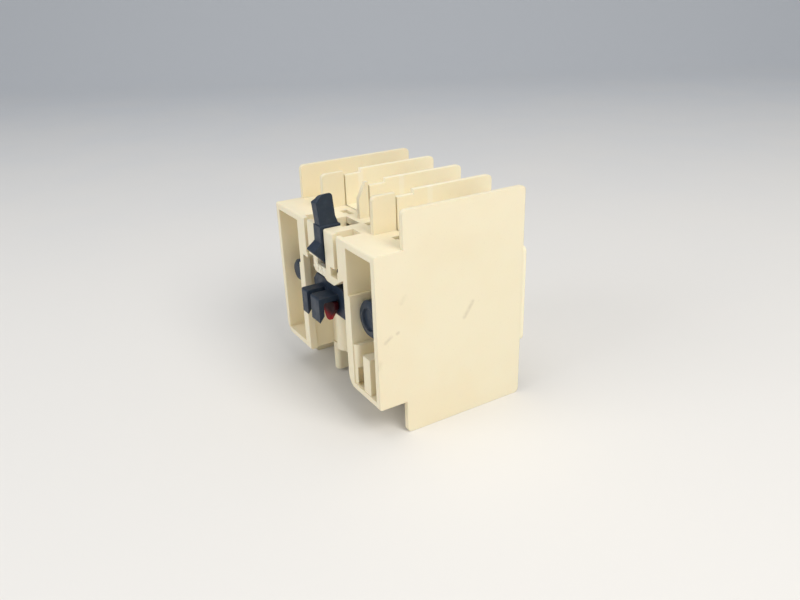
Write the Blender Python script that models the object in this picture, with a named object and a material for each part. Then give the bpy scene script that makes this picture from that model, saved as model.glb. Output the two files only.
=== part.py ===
"""Auxiliary contact block, four poles, for mounting on the front of a contactor.

X runs across the block, Y from the mounting face to the terminals and Z up.
Depths are counted from the mounting face; `at` moves them to the block's middle.
The carriage slides along Y. The latch lever rocks on its trunnions.
"""

import math

import bmesh
import bpy
from mathutils import Matrix, Vector

MM = 0.001
GAP = 0.3 * MM
REACH = 1.0 * MM
LAP = 0.5 * MM

# Housing
WIDTH = 44.0 * MM
HEIGHT = 46.6 * MM
BODY_TALL = 31.9 * MM
BODY_DROP = 0.15 * MM
FIN_BACK = 6.2 * MM
FIN_FRONT = 34.7 * MM
FIN = 1.05 * MM
FIN_CORNER = 1.0 * MM
EDGE = 0.4 * MM
WALL = 1.5 * MM
SEAM = 11.4 * MM
SIDE = WIDTH / 2
INSIDE = SIDE - FIN
MIDDLE_Z = HEIGHT / 2
BODY_LOW = MIDDLE_Z - BODY_TALL / 2 - BODY_DROP
BODY_HIGH = BODY_LOW + BODY_TALL
BACK_FRONT = FIN_BACK + WALL
POLE_PITCH = (WIDTH - FIN) / 4
POLES = [POLE_PITCH * (index - 1.5) for index in range(4)]
OUTER = POLES[3]
INNER = POLES[2]
FINS = [POLE_PITCH * (index - 1) for index in range(3)]

# Plungers, seen as two discs in the open boxes
DISC_ROOM = 0.7 * MM
CAVITY_WALL = 1.3 * MM
CAVITY_OUT = SIDE - CAVITY_WALL
DISC = CAVITY_OUT - OUTER - DISC_ROOM
DISC_FACE = 1.5 * MM
SMALL_DISC = 2.5 * MM
SMALL_FACE = 1.3 * MM
DISC_BACK = 4.4 * MM
DISC_RISE = 0.9 * MM
DISC_BEVEL = 0.5 * MM
DISH_RIM = 0.7 * MM
DISH = 0.5 * MM
PLUNGER = 1.6 * MM

# Open boxes beside the channel
CAVITY_END = 1.4 * MM
CAVITY_IN = OUTER - DISC - 1.2 * MM
CAVITY_LOW = BODY_LOW + CAVITY_END
CAVITY_HIGH = BODY_HIGH - CAVITY_END
BOX_CORNER = 3.0 * MM
LEDGE_Z = BODY_HIGH - 11.2 * MM
LEDGE_STEP = 0.7 * MM
PAD = 1.7 * MM
PAD_HIGH = BODY_LOW + 10.3 * MM
PAD_WINDOW_LOW = BODY_LOW + 1.0 * MM
PAD_WINDOW_HIGH = BODY_LOW + 5.2 * MM
PAD_WINDOW_DEPTH = 2.4 * MM
RIB_FACE = 0.2 * MM
RIB_IN = CAVITY_OUT - 5.2 * MM
RIB_OUT = CAVITY_OUT - 2.5 * MM
RIB_HIGH = BODY_LOW + 9.4 * MM

# Channel, its cross wall and the two rails beside the latch
CHANNEL = CAVITY_IN - 1.1 * MM
LIP = 1.6 * MM
LIP_REACH = 0.6 * MM
CHANNEL_TOP = BODY_HIGH - 8.7 * MM
CROSS_LOW = BODY_HIGH - 11.1 * MM
BOSS_RISE = 0.6 * MM
CROSS_STEP = 1.0 * MM
CROSS_SLOPE = 1.4 * MM
GUIDE_IN = CHANNEL - 4.6 * MM
GUIDE_OUT = CHANNEL - 1.2 * MM
GUIDE_LOW = BODY_HIGH - 7.7 * MM
GUIDE_DEPTH = 4.9 * MM
GUIDE_LIP = 1.0 * MM
MOUTH_IN = GUIDE_IN + 0.55 * MM
MOUTH_OUT = GUIDE_OUT - 1.4 * MM
NOTCH_IN = GUIDE_IN - 1.4 * MM
NOTCH_OUT = GUIDE_OUT - 1.8 * MM
NOTCH_LOW = BODY_HIGH - 9.3 * MM
PILLAR = 2.0 * MM
PILLAR_HIGH = BODY_LOW + 9.2 * MM
PILLAR_FACE = FIN_BACK - 1.2 * MM
RETURN_PEG = 1.1 * MM
RETURN_PEG_REACH = 1.4 * MM

# Fin panels behind the boxes, and the two legs under them
MIDDLE_PANEL_BACK = 9.1 * MM
MIDDLE_PANEL_RUN = 1.7 * MM
MIDDLE_PANEL_RISE = 3.4 * MM
LEG_IN = POLE_PITCH - 2.75 * MM
LEG_OUT = POLE_PITCH - 0.35 * MM
LEG_FACE = FIN_BACK - 0.3 * MM
LEG_END = FIN_BACK + 2.7 * MM
LEG_PANEL = FIN_BACK + 1.2 * MM
LEG_LOW = 0.8 * MM
LEG_CORNER = 0.9 * MM

# Terminal frame
FRAME_BACK = SEAM + GAP
FRAME_SIDE = INSIDE - GAP
FRAME_FIN_STEP = 15.5 * MM
FRAME_FIN_DROP = 0.9 * MM
FRONT_WALL = 2.1 * MM
FRONT_FACE = FIN_FRONT - FRONT_WALL
SCREW_RISE = BODY_TALL / 2 - 2.9 * MM
POCKET = POLE_PITCH / 2 - 1.07 * MM
POCKET_FLOOR = SCREW_RISE - 2.9 * MM
CHAMBER = POCKET - 0.6 * MM
CHAMBER_HALF = POCKET_FLOOR - 0.9 * MM
SHROUD_LOW = SCREW_RISE + WALL
SHROUD_HIGH = BODY_TALL / 2 + 2.55 * MM
SHROUD_INSET = 0.1 * MM
SNAP = 1.5 * MM
SNAP_BACK = 8.4 * MM
SNAP_THICK = 1.3 * MM
LUG_BACK = 8.7 * MM
LUG_FRONT = 9.7 * MM
LUG_ROOT = 0.6 * MM
SNAP_WINDOW = 1.95 * MM
BOSS = 1.1 * MM
BOSS_LONG = 3.2 * MM
BORE_END = 0.7 * MM

# Contacts and terminals
STRIP = 0.8 * MM
STRIP_HALF = CHAMBER - 0.6 * MM
STRIP_TOP = 0.4 * MM
TERMINAL_FACE = 26.1 * MM
TIP_RISE = CHAMBER_HALF - 2.6 * MM
TIP = 1.2 * MM
TIP_DEPTH = 0.5 * MM
STRIP_END = TIP_RISE - TIP
CLAMP = 0.8 * MM
CLAMP_LIFT = 1.0 * MM
CLAMP_HALF = POCKET - 1.0 * MM
CLAMP_LIP = 0.6 * MM
CLAMP_IN = 2.2 * MM
CLAMP_OUT = 2.0 * MM
SCREW = 1.4 * MM
SCREW_END = 18.0 * MM
HEAD = 2.25 * MM
HEAD_CROWN = 0.3 * MM
HEAD_TALL = 1.9 * MM
HEAD_SEAT = TERMINAL_FACE + CLAMP_LIFT + CLAMP + GAP
DRIVE = 0.35 * MM
DRIVE_FLOOR = 1.1 * MM

# Carriage
TRAVEL = 3.5 * MM
BAR_BACK = 16.0 * MM
BAR_FRONT = 18.0 * MM
BAR_HALF = 3.0 * MM
POST = 2.5 * MM
SLOT = 1.75 * MM
CAGE = 6.4 * MM
CAGE_MORE = 1.2 * MM
CAGE_STEP = 0.35 * MM
CAGE_WALL = 1.4 * MM
STEM = 1.5 * MM
STEM_END = FIN_FRONT - 1.2 * MM
SEAT = BAR_FRONT + CAGE_STEP + GAP
PLATE_FACE = 1.3 * MM
PLATE_DEEP = 3.3 * MM
PLATE_HALF = CHANNEL - 2.5 * MM
PLATE_LOW = MIDDLE_Z - 2.8 * MM
PLATE_HIGH = CROSS_LOW - 1.0 * MM
PLATE_CORNER = 1.6 * MM
PLATE_ROOM = 0.5 * MM
NECK = 2.6 * MM
HOOK_FACE = -3.2 * MM
HOOK_HALF = CHANNEL - 5.8 * MM
HOOK_LOW = PLATE_LOW - 0.5 * MM
HOOK_HIGH = PLATE_HIGH - 1.7 * MM
HOOK_FLANGE = 1.1 * MM
HOOK_ROOF = 1.1 * MM
HOOK_POINT = 1.4 * MM
SLIT_LEFT = -1.5 * MM
SLIT_RIGHT = 0.2 * MM
SLIT_END = 0.9 * MM

# Red insert under the hook
INSERT_FACE = 0.1 * MM
INSERT_LEFT = -1.0 * MM
INSERT_RIGHT = 4.6 * MM
INSERT_TIP = 0.6 * MM
INSERT_TIP_HALF = 0.6 * MM
INSERT_LOW = HOOK_LOW - 1.2 * MM
INSERT_HIGH = HOOK_HIGH - HOOK_ROOF - GAP

# Latch lever
LATCH = 1.6 * MM
TAB = 1.25 * MM
PIVOT_Y = 2.6 * MM
PIVOT_Z = BODY_HIGH - 8.8 * MM
TRUNNION = 0.8 * MM
HUB = 1.2 * MM
SLOT_BACK = 6.9 * MM
SILL = 1.0 * MM
SILL_HIGH = PIVOT_Z + 0.3 * MM
PIT = 2.9 * MM
PIT_FACE = 3.9 * MM
PIT_BACK = 7.75 * MM
PIT_LOW = BODY_HIGH - 2.1 * MM
LEVER_FACE = -0.5 * MM
LEVER_BACK = 2.3 * MM
HEEL = 1.3 * MM
HEEL_HIGH = PIVOT_Z + 3.1 * MM
TOE = 0.2 * MM
TOE_HIGH = PIVOT_Z + 1.4 * MM
TOOTH = -2.3 * MM
TOOTH_LOW = PIVOT_Z + 4.0 * MM
TOOTH_EDGE = 0.3 * MM
TOOTH_RAMP = 1.7 * MM
SHOULDER_LOW = BODY_HIGH - 0.9 * MM
SHOULDER_HIGH = BODY_HIGH + 0.4 * MM
SHOULDER_BACK = 4.1 * MM
TAB_HIGH = BODY_HIGH + 6.9 * MM
TAB_BACK = 2.8 * MM
TAB_FACE = -0.8 * MM
TAB_FLARE = 1.7 * MM
TAB_ARC = 1.6 * MM
SPRING_Z = BODY_HIGH - 3.7 * MM

# Springs: wire and outer radius
RETURN_WIRE = 0.25 * MM
RETURN_COIL = 2.0 * MM
CONTACT_WIRE = 0.2 * MM
LATCH_WIRE = 0.18 * MM
LATCH_COIL = 1.2 * MM

# Nose and marker plate
NOSE_HALF = SIDE - 0.8 * MM
NOSE_LOW = MIDDLE_Z - 11.1 * MM
NOSE_HIGH = MIDDLE_Z + 10.1 * MM
NOSE_BACK = FIN_FRONT + GAP
NOSE_FRONT = NOSE_BACK + 1.0 * MM
NOSE_CORNER = 1.2 * MM
NOSE_RIM = 1.6 * MM
TRAY = 0.6 * MM
MARKER = 0.4 * MM
MARKER_SEAT = 0.1 * MM
PEG = 1.2 * MM

# The front of the nose and the hook are the two ends of the block
FACE_Y = -(NOSE_FRONT + HOOK_FACE) / 2

SHARP = math.radians(30)
ROUND = 32
BAR_ROUND = 16
HOLE_ROUND = 12
PARTS_NAME = "auxiliary_contact_block"
GUIDES_NAME = "cutting_guides"
JOINS = []

COLOURS = {
    "cream": ((0.86, 0.77, 0.6), 0.45, 0.0),
    "slate": ((0.045, 0.055, 0.085), 0.42, 0.0),
    "red": ((0.3, 0.012, 0.015), 0.4, 0.0),
    "brass": ((0.72, 0.5, 0.2), 0.3, 1.0),
    "steel": ((0.6, 0.6, 0.6), 0.3, 1.0),
    "white": ((0.8, 0.8, 0.78), 0.5, 0.0),
}


def at(x, depth, z):
    """A point given by its depth from the mounting face."""
    return Vector((x, FACE_Y + depth, z))


def both(value):
    """A distance on both sides of the middle height."""
    return MIDDLE_Z - value, MIDDLE_Z + value


def up_down(side, low, high):
    """A span of heights above (1) or below (-1) the middle."""
    return MIDDLE_Z + side * low, MIDDLE_Z + side * high


def clear_scene():
    for thing in list(bpy.data.objects):
        bpy.data.objects.remove(thing)


def new_group(name, parent=None):
    group = bpy.data.collections.new(name)
    (parent or bpy.context.scene.collection).children.link(group)
    return group


def link(name, mesh, group):
    thing = bpy.data.objects.new(name, mesh)
    group.objects.link(thing)
    return thing


def mesh_of(shape, name):
    """A mesh made from a bmesh, which is then let go."""
    mesh = bpy.data.meshes.new(name)
    shape.to_mesh(mesh)
    shape.free()
    return mesh


def block(name, x, depth, z, group):
    """A box between two values along each axis."""
    shape = bmesh.new()
    bmesh.ops.create_cube(shape, size=1.0)
    low = at(min(x), min(depth), min(z))
    high = at(max(x), max(depth), max(z))
    for corner in shape.verts:
        corner.co = [a + (b - a) * (c + 0.5) for a, b, c in zip(low, high, corner.co)]
    return link(name, mesh_of(shape, name), group)


AXIS_TURN = {
    "x": Matrix.Rotation(math.pi / 2, 4, "Y"),
    "y": Matrix.Rotation(-math.pi / 2, 4, "X"),
}


def rod(name, axis, radius, start, end, group, sides=BAR_ROUND, end_radius=None):
    """A round bar or a taper between two points that lie along one axis."""
    shape = bmesh.new()
    bmesh.ops.create_cone(
        shape,
        cap_ends=True,
        segments=sides,
        radius1=radius,
        radius2=end_radius or radius,
        depth=(end - start).length,
    )
    place = Matrix.Translation((start + end) / 2) @ AXIS_TURN[axis]
    bmesh.ops.transform(shape, matrix=place, verts=shape.verts)
    return link(name, mesh_of(shape, name), group)


def bar(name, radius, x, depth, z, group, sides=BAR_ROUND, end_radius=None):
    """A round bar along Y between two depths."""
    start = at(x, min(depth), z)
    end = at(x, max(depth), z)
    return rod(name, "y", radius, start, end, group, sides, end_radius)


def rounded(corners, radius=0, steps=4):
    """The outline with each corner turned by an arc; a corner may carry its own radius."""
    outline = []
    count = len(corners)
    for index, corner in enumerate(corners):
        own = corner[2] if len(corner) > 2 else radius
        here = Vector(corner[:2])
        before = Vector(corners[index - 1][:2]) - here
        after = Vector(corners[(index + 1) % count][:2]) - here
        if own <= 0:
            outline.append(here)
            continue
        half = before.angle(after) / 2
        reach = own / math.tan(half)
        middle = (before.normalized() + after.normalized()).normalized()
        centre = here + middle * (own / math.sin(half))
        first = here + before.normalized() * reach - centre
        last = here + after.normalized() * reach - centre
        sweep = first.angle_signed(last)
        for step in range(steps + 1):
            outline.append(centre + Matrix.Rotation(-sweep * step / steps, 2) @ first)
    return outline


PLANES = {
    "yz": Matrix(((0, 0, 1), (1, 0, 0), (0, 1, 0))),
    "xz": Matrix(((1, 0, 0), (0, 0, -1), (0, 1, 0))),
    "xy": Matrix.Identity(3),
}


def prism(name, plane, outline, span, group):
    """A flat outline drawn on a plane and given thickness across it.

    An outline's points are depth and height on yz, X and height on xz, X and depth
    on xy. The span runs along the third direction.
    """
    curve = bpy.data.curves.new(name, "CURVE")
    curve.dimensions = "2D"
    curve.fill_mode = "BOTH"
    curve.extrude = abs(span[1] - span[0]) / 2
    spline = curve.splines.new("POLY")
    spline.points.add(len(outline) - 1)
    for point, place in zip(spline.points, outline):
        point.co = (place[0], place[1], 0, 1)
    spline.use_cyclic_u = True
    middle = (span[0] + span[1]) / 2
    shift = {"yz": at(middle, 0, 0), "xz": at(0, middle, 0), "xy": at(0, 0, middle)}[plane]
    drawn = link(name + "_curve", curve, bpy.context.scene.collection)
    drawn.matrix_world = Matrix.Translation(shift) @ PLANES[plane].to_4x4()
    return solid_from(drawn, name, group)


def solid_from(drawn, name, group):
    """A curve object made a closed mesh, with its place in the mesh."""
    bpy.context.view_layer.update()
    seen = drawn.evaluated_get(bpy.context.evaluated_depsgraph_get())
    raw = bpy.data.meshes.new_from_object(seen)
    raw.transform(drawn.matrix_world)
    shape = bmesh.new()
    shape.from_mesh(raw)
    bmesh.ops.remove_doubles(shape, verts=shape.verts, dist=0.001 * MM)
    bmesh.ops.recalc_face_normals(shape, faces=shape.faces)
    bpy.data.objects.remove(drawn)
    bpy.data.meshes.remove(raw)
    return link(name, mesh_of(shape, name), group)


def coil(name, wire, radius, turns, x, depth, z, group, steps=8):
    """A spring wound round a line along Y."""
    curve = bpy.data.curves.new(name, "CURVE")
    curve.dimensions = "3D"
    curve.bevel_depth = wire
    curve.bevel_resolution = 1
    curve.use_fill_caps = True
    spline = curve.splines.new("POLY")
    count = int(turns * steps)
    spline.points.add(count)
    length = depth[1] - depth[0] - 2 * wire
    for index, point in enumerate(spline.points):
        turn = 2 * math.pi * index / steps
        along = depth[0] + wire + length * index / count
        across = x + (radius - wire) * math.cos(turn)
        height = z + (radius - wire) * math.sin(turn)
        point.co = (*at(across, along, height), 1)
    drawn = link(name + "_curve", curve, bpy.context.scene.collection)
    return solid_from(drawn, name, group)


def combine(base, operation, name):
    """One exact Boolean against every shape in a group, connected at the end."""
    guides = bpy.data.collections.get(GUIDES_NAME) or new_group(GUIDES_NAME)
    group = new_group(name, guides)
    step = base.modifiers.new(name, "BOOLEAN")
    step.operation = operation
    step.solver = "EXACT"
    step.operand_type = "COLLECTION"
    JOINS.append((step, group))
    return group


def finish(thing, colour, parts, pivot=None):
    """Give a part its material, its collection and, if it moves, its pivot."""
    for group in thing.users_collection:
        group.objects.unlink(thing)
    parts.objects.link(thing)
    base, roughness, metallic = COLOURS[colour]
    material = bpy.data.materials.get(colour) or bpy.data.materials.new(colour)
    material.use_nodes = True
    shader = material.node_tree.nodes["Principled BSDF"]
    shader.inputs["Base Color"].default_value = (*base, 1)
    shader.inputs["Roughness"].default_value = roughness
    shader.inputs["Metallic"].default_value = metallic
    thing.data.materials.clear()
    thing.data.materials.append(material)
    if pivot is not None:
        thing.data.transform(Matrix.Translation(-pivot))
        thing.location = pivot
    return thing


def connect_groups():
    """Each Boolean takes its group, whose shapes are guides only."""
    for step, group in JOINS:
        step.collection = group
        for thing in group.objects:
            thing.hide_render = True
            thing.display_type = "WIRE"


def settle(parts):
    """Each part keeps its finished shape, smooth where its faces turn gently."""
    bpy.context.view_layer.update()
    view = bpy.context.evaluated_depsgraph_get()
    shapes = {}
    for thing in parts.objects:
        shapes[thing] = bpy.data.meshes.new_from_object(thing.evaluated_get(view))
    for thing, mesh in shapes.items():
        thing.modifiers.clear()
        thing.data = mesh
        mesh.name = thing.name
        mesh.shade_smooth()
        mesh.set_sharp_from_angle(angle=SHARP)


def side_outline():
    """The side plate: full height behind the boxes, the body's height at the boxes."""
    return rounded(
        [
            (0, BODY_LOW, EDGE),
            (FIN_BACK, BODY_LOW),
            (FIN_BACK, 0, FIN_CORNER),
            (FIN_FRONT, 0, FIN_CORNER),
            (FIN_FRONT, HEIGHT, FIN_CORNER),
            (FIN_BACK, HEIGHT, FIN_CORNER),
            (FIN_BACK, BODY_HIGH),
            (0, BODY_HIGH, EDGE),
        ]
    )


def cavity_cutters(group, side):
    """The open box beside the channel, with a ledge along its inner wall."""
    for index, (inset, low) in enumerate(((0, LEDGE_Z), (LEDGE_STEP, CAVITY_LOW))):
        x = (side * (CAVITY_IN + inset), side * CAVITY_OUT)
        name = "cavity_%d_%d" % (side, index)
        block(name, x, (-REACH, FIN_BACK), (low, CAVITY_HIGH), group)


def rail_cutters(group, side):
    """The guide pocket in the rail with its narrower mouth, the notch and the window."""
    high = BODY_HIGH + REACH
    mouth = (side * MOUTH_IN, side * MOUTH_OUT)
    block("mouth_%d" % side, mouth, (-REACH, GUIDE_LIP + LAP), (GUIDE_LOW, high), group)
    guide = (side * GUIDE_IN, side * GUIDE_OUT)
    block("guide_%d" % side, guide, (GUIDE_LIP, GUIDE_DEPTH), (GUIDE_LOW, high), group)
    notch = (side * NOTCH_IN, side * NOTCH_OUT)
    height = (NOTCH_LOW, GUIDE_LOW + GAP)
    block("notch_%d" % side, notch, (-REACH, GUIDE_DEPTH - LAP), height, group)
    window = TRUNNION + GAP
    x = (side * LATCH, side * (NOTCH_IN + LAP))
    depth = (PIVOT_Y - window, PIVOT_Y + window)
    block("window_%d" % side, x, depth, (PIVOT_Z - window, PIVOT_Z + window), group)


def channel_outline(half):
    """The channel from the front. Above it hangs the cross wall with its round boss."""
    step = CROSS_LOW + BOSS_RISE
    return rounded(
        [
            (-half, -REACH),
            (half, -REACH),
            (half, CHANNEL_TOP),
            (0.86 * CHANNEL, CROSS_LOW + BOSS_RISE + CROSS_SLOPE),
            (0.52 * CHANNEL, CROSS_LOW, EDGE),
            (0.2 * CHANNEL, CROSS_LOW, EDGE),
            (0.08 * CHANNEL, step),
            (-0.33 * CHANNEL, step, EDGE),
            (-0.42 * CHANNEL, step + CROSS_STEP),
            (-0.42 * CHANNEL, CHANNEL_TOP),
            (-half, CHANNEL_TOP),
        ]
    )


def room_cutters(group):
    """The open space above, below and in front of the shell's own walls."""
    above = (BODY_HIGH, HEIGHT + REACH)
    below = (-REACH, BODY_LOW)
    end = SEAM + 2 * REACH
    for name, z in (("above", above), ("below", below)):
        block("room_" + name, (-INSIDE, INSIDE), (-REACH, end), z, group)
    inner = INSIDE - WALL / 2
    z = (BODY_LOW + WALL, BODY_HIGH - WALL)
    block("inner_room", (-inner, inner), (BACK_FRONT, end), z, group)


def carriage_ways(group):
    """The channel, and the holes in the back wall that the carriage passes."""
    prism("channel", "xz", channel_outline(CHANNEL), (LIP, FIN_BACK), group)
    mouth = channel_outline(CHANNEL - LIP_REACH)
    prism("channel_mouth", "xz", mouth, (-REACH, FIN_BACK), group)
    window = PLATE_HALF + PLATE_ROOM
    z = (PLATE_LOW - PLATE_ROOM, PLATE_HIGH + PLATE_ROOM)
    through = (FIN_BACK - REACH, BACK_FRONT + REACH)
    block("carriage_window", (-window, window), through, z, group)
    for pole, radius in ((-OUTER, SMALL_DISC), (OUTER, DISC)):
        height = MIDDLE_Z + DISC_RISE
        bar("plunger_hole", radius + GAP, pole, through, height, group, ROUND)


def latch_cutters(group):
    """The slot that the lever rocks in, its mouth and the wider pit behind its shoulder."""
    room = LATCH + GAP
    high = BODY_HIGH + REACH
    z = (PIVOT_Z - HUB - GAP, high)
    block("latch_slot", (-room, room), (SILL, SLOT_BACK), z, group)
    block("latch_mouth", (-room, room), (-REACH, SLOT_BACK), (SILL_HIGH, high), group)
    block("latch_pit", (-PIT, PIT), (PIT_FACE, PIT_BACK), (PIT_LOW, high), group)


def shell_cutters(group):
    """Everything taken out of the shell's solid side outline."""
    room_cutters(group)
    carriage_ways(group)
    latch_cutters(group)
    for side in (-1, 1):
        cavity_cutters(group, side)
        rail_cutters(group, side)
    for pole in POLES:
        for side in (-1, 1):
            x = (pole - SNAP - GAP, pole + SNAP + GAP)
            depth = (LUG_BACK - GAP, LUG_FRONT + GAP)
            low = BODY_TALL / 2 - SNAP_WINDOW
            z = up_down(side, low, low + SNAP_WINDOW + REACH)
            block("snap_window", x, depth, z, group)


def fin_panels(group):
    """The shell's own piece of each barrier fin, above and below the body."""
    edge = HEIGHT - BODY_HIGH + REACH
    for fin in FINS:
        x = (fin - FIN / 2, fin + FIN / 2)
        for side in (-1, 1):
            base = MIDDLE_Z + side * (BODY_HIGH - MIDDLE_Z - REACH)
            tip = base + side * edge
            if abs(fin) < FIN:
                run = MIDDLE_PANEL_BACK + MIDDLE_PANEL_RUN
                back = [(MIDDLE_PANEL_BACK, tip - side * MIDDLE_PANEL_RISE), (run, tip)]
            elif side > 0:
                back = [(FIN_BACK, tip, FIN_CORNER)]
            else:
                back = [(LEG_PANEL, tip, FIN_CORNER)]
            corners = [(back[0][0], base)] + back
            corners += [(SEAM + REACH, tip), (SEAM + REACH, base)]
            prism("panel", "yz", rounded(corners), x, group)


def post(name, x, depth, z, radius, group):
    """An upright post whose two edges towards the mounting face are rounded."""
    low, high = sorted(x)
    face, end = depth
    corners = [(low, face, radius), (high, face, radius), (high, end), (low, end)]
    prism(name, "xy", rounded(corners, steps=6), z, group)


def legs(group):
    """The two legs under the body."""
    for side in (-1, 1):
        x = (side * LEG_IN, side * LEG_OUT)
        z = (LEG_LOW, BODY_LOW + LAP)
        post("leg", x, (LEG_FACE, LEG_END), z, LEG_CORNER, group)


def box_fittings(group, side):
    """The pad on the box's inner wall, and the peg of a return spring."""
    inner = side * (CAVITY_IN - EDGE)
    outer = side * (CAVITY_IN + PAD)
    corners = [
        (inner, RIB_FACE),
        (outer, RIB_FACE, PAD - EDGE),
        (outer, FIN_BACK + LAP),
        (inner, FIN_BACK + LAP),
    ]
    prism("pad", "xy", rounded(corners), (CAVITY_LOW - LAP, PAD_HIGH), group)
    depth = (BACK_FRONT - LAP, BACK_FRONT + RETURN_PEG_REACH)
    bar("spring_peg", RETURN_PEG, side * POLE_PITCH, depth, MIDDLE_Z, group, HOLE_ROUND)


def shell_additions(group):
    """Fin panels, ribs, pillars and spring pegs joined to the shell."""
    fin_panels(group)
    rib = (RIB_FACE, FIN_BACK + LAP)
    block("cavity_rib", (RIB_IN, RIB_OUT), rib, (CAVITY_LOW - LAP, RIB_HIGH), group)
    for side in (-1, 1):
        x = (side * INNER - PILLAR, side * INNER + PILLAR)
        depth = (PILLAR_FACE, BACK_FRONT - GAP)
        z = (BODY_LOW + EDGE, PILLAR_HIGH)
        post("pillar", x, depth, z, 0.9 * PILLAR, group)
        box_fittings(group, side)


def last_cutters(group):
    """The terminal frame's room, the boxes' rounded corners and the pads' windows."""
    depth = (SEAM, FIN_FRONT + REACH)
    block("frame_room", (-INSIDE, INSIDE), depth, (-REACH, HEIGHT + REACH), group)
    z = (PAD_WINDOW_LOW, PAD_WINDOW_HIGH)
    for side in (-1, 1):
        x = (side * (CAVITY_IN + LEDGE_STEP / 2), side * (CAVITY_IN + PAD + REACH))
        block("pad_window", x, (RIB_FACE + LAP, PAD_WINDOW_DEPTH), z, group)
    for index, x in enumerate((-SIDE, CHANNEL - LIP_REACH)):
        corner = block(
            "corner_%d" % index,
            (x - REACH, x + BOX_CORNER),
            (-REACH, FIN_BACK),
            (BODY_LOW - REACH, BODY_LOW + BOX_CORNER),
            group,
        )
        inner = combine(corner, "DIFFERENCE", "corner_round_%d" % index)
        depth = (-2 * REACH, FIN_BACK + REACH)
        height = BODY_LOW + BOX_CORNER
        bar("round_%d" % index, BOX_CORNER, x + BOX_CORNER, depth, height, inner, ROUND)


def make_shell(parts):
    shell = prism("housing_shell", "yz", side_outline(), (-SIDE, SIDE), parts)
    shell_cutters(combine(shell, "DIFFERENCE", "shell_cutters"))
    shell_additions(combine(shell, "UNION", "shell_additions"))
    legs(combine(shell, "UNION", "shell_legs"))
    last_cutters(combine(shell, "DIFFERENCE", "shell_trim"))
    return finish(shell, "cream", parts)


def frame_fin_outline():
    """A barrier fin of the frame, lower where it meets the shell's panel."""
    low = FRAME_FIN_DROP
    high = HEIGHT - FRAME_FIN_DROP
    return rounded(
        [
            (FRAME_BACK, low),
            (FRAME_FIN_STEP, low),
            (FRAME_FIN_STEP, 0),
            (FIN_FRONT, 0, FIN_CORNER),
            (FIN_FRONT, HEIGHT, FIN_CORNER),
            (FRAME_FIN_STEP, HEIGHT),
            (FRAME_FIN_STEP, high),
            (FRAME_BACK, high),
        ]
    )


def frame_additions(group):
    """Fins, terminal shrouds and snap tongues joined to the frame's body."""
    for fin in FINS:
        x = (fin - FIN / 2, fin + FIN / 2)
        prism("frame_fin", "yz", frame_fin_outline(), x, group)
    shroud = (FIN_FRONT - WALL, FIN_FRONT - SHROUD_INSET)
    half = FRAME_SIDE - SHROUD_INSET
    under = BODY_HIGH - MIDDLE_Z - WALL - GAP
    for side in (-1, 1):
        z = up_down(side, SHROUD_LOW, SHROUD_HIGH)
        block("shroud", (-half, half), shroud, z, group)
        for pole in POLES:
            x = (pole - SNAP, pole + SNAP)
            z = up_down(side, under - SNAP_THICK, under)
            block("tongue", x, (SNAP_BACK, FRAME_BACK + LAP), z, group)
            z = up_down(side, under - LUG_ROOT, under + SNAP_THICK)
            block("lug", x, (LUG_BACK, LUG_FRONT), z, group)


def terminal_cutters(group, pole, side):
    """A terminal's pocket, the slot of its contact, and its screw's bore and hole."""
    x = (pole - POCKET, pole + POCKET)
    back = TERMINAL_FACE - STRIP - GAP
    z = up_down(side, POCKET_FLOOR, MIDDLE_Z + REACH)
    block("pocket", x, (back, FIN_FRONT - WALL), z, group)
    x = (pole - STRIP_HALF - GAP, pole + STRIP_HALF + GAP)
    z = up_down(side, CHAMBER_HALF - LAP, POCKET_FLOOR + LAP)
    block("strip_slot", x, (back, TERMINAL_FACE + GAP), z, group)
    height = MIDDLE_Z + side * SCREW_RISE
    bore = (SCREW_END - REACH, TERMINAL_FACE)
    bar("screw_bore", SCREW + GAP, pole, bore, height, group, HOLE_ROUND)
    hole = (FIN_FRONT - 2 * WALL, FIN_FRONT + REACH)
    bar("driver_hole", HEAD + GAP, pole, hole, height, group)


def frame_cutters(group):
    """Contact chambers, terminal pockets and the ways for the carriage."""
    back = FRAME_BACK - REACH
    for pole in POLES:
        x = (pole - CHAMBER, pole + CHAMBER)
        block("chamber", x, (back, FRONT_FACE), both(CHAMBER_HALF), group)
        for side in (-1, 1):
            terminal_cutters(group, pole, side)
    half = FRAME_SIDE - WALL / 2
    depth = (back, BAR_FRONT + GAP)
    block("bar_room", (-half, half), depth, both(BAR_HALF + GAP), group)
    depth = (FRONT_FACE - REACH, FIN_FRONT + REACH)
    for side in (-1, 1):
        bar("peg_hole", PEG + GAP, side * POLE_PITCH, depth, MIDDLE_Z, group, HOLE_ROUND)


def guide_bosses(group):
    """Tubes on the front wall that the carriage's stems run in."""
    depth = (FRONT_FACE - BOSS_LONG, FRONT_FACE + LAP)
    for pole in (-INNER, INNER):
        bar("guide_boss", STEM + GAP + BOSS, pole, depth, MIDDLE_Z, group)


def guide_bores(group):
    depth = (FRONT_FACE - BOSS_LONG - REACH, FIN_FRONT - BORE_END)
    for pole in (-INNER, INNER):
        bar("guide_bore", STEM + GAP, pole, depth, MIDDLE_Z, group)


def make_frame(parts):
    x = (-FRAME_SIDE, FRAME_SIDE)
    frame = block("terminal_frame", x, (FRAME_BACK, FIN_FRONT), (BODY_LOW, BODY_HIGH), parts)
    frame_additions(combine(frame, "UNION", "frame_additions"))
    frame_cutters(combine(frame, "DIFFERENCE", "frame_cutters"))
    guide_bosses(combine(frame, "UNION", "frame_bosses"))
    guide_bores(combine(frame, "DIFFERENCE", "frame_bores"))
    return finish(frame, "cream", parts)


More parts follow.
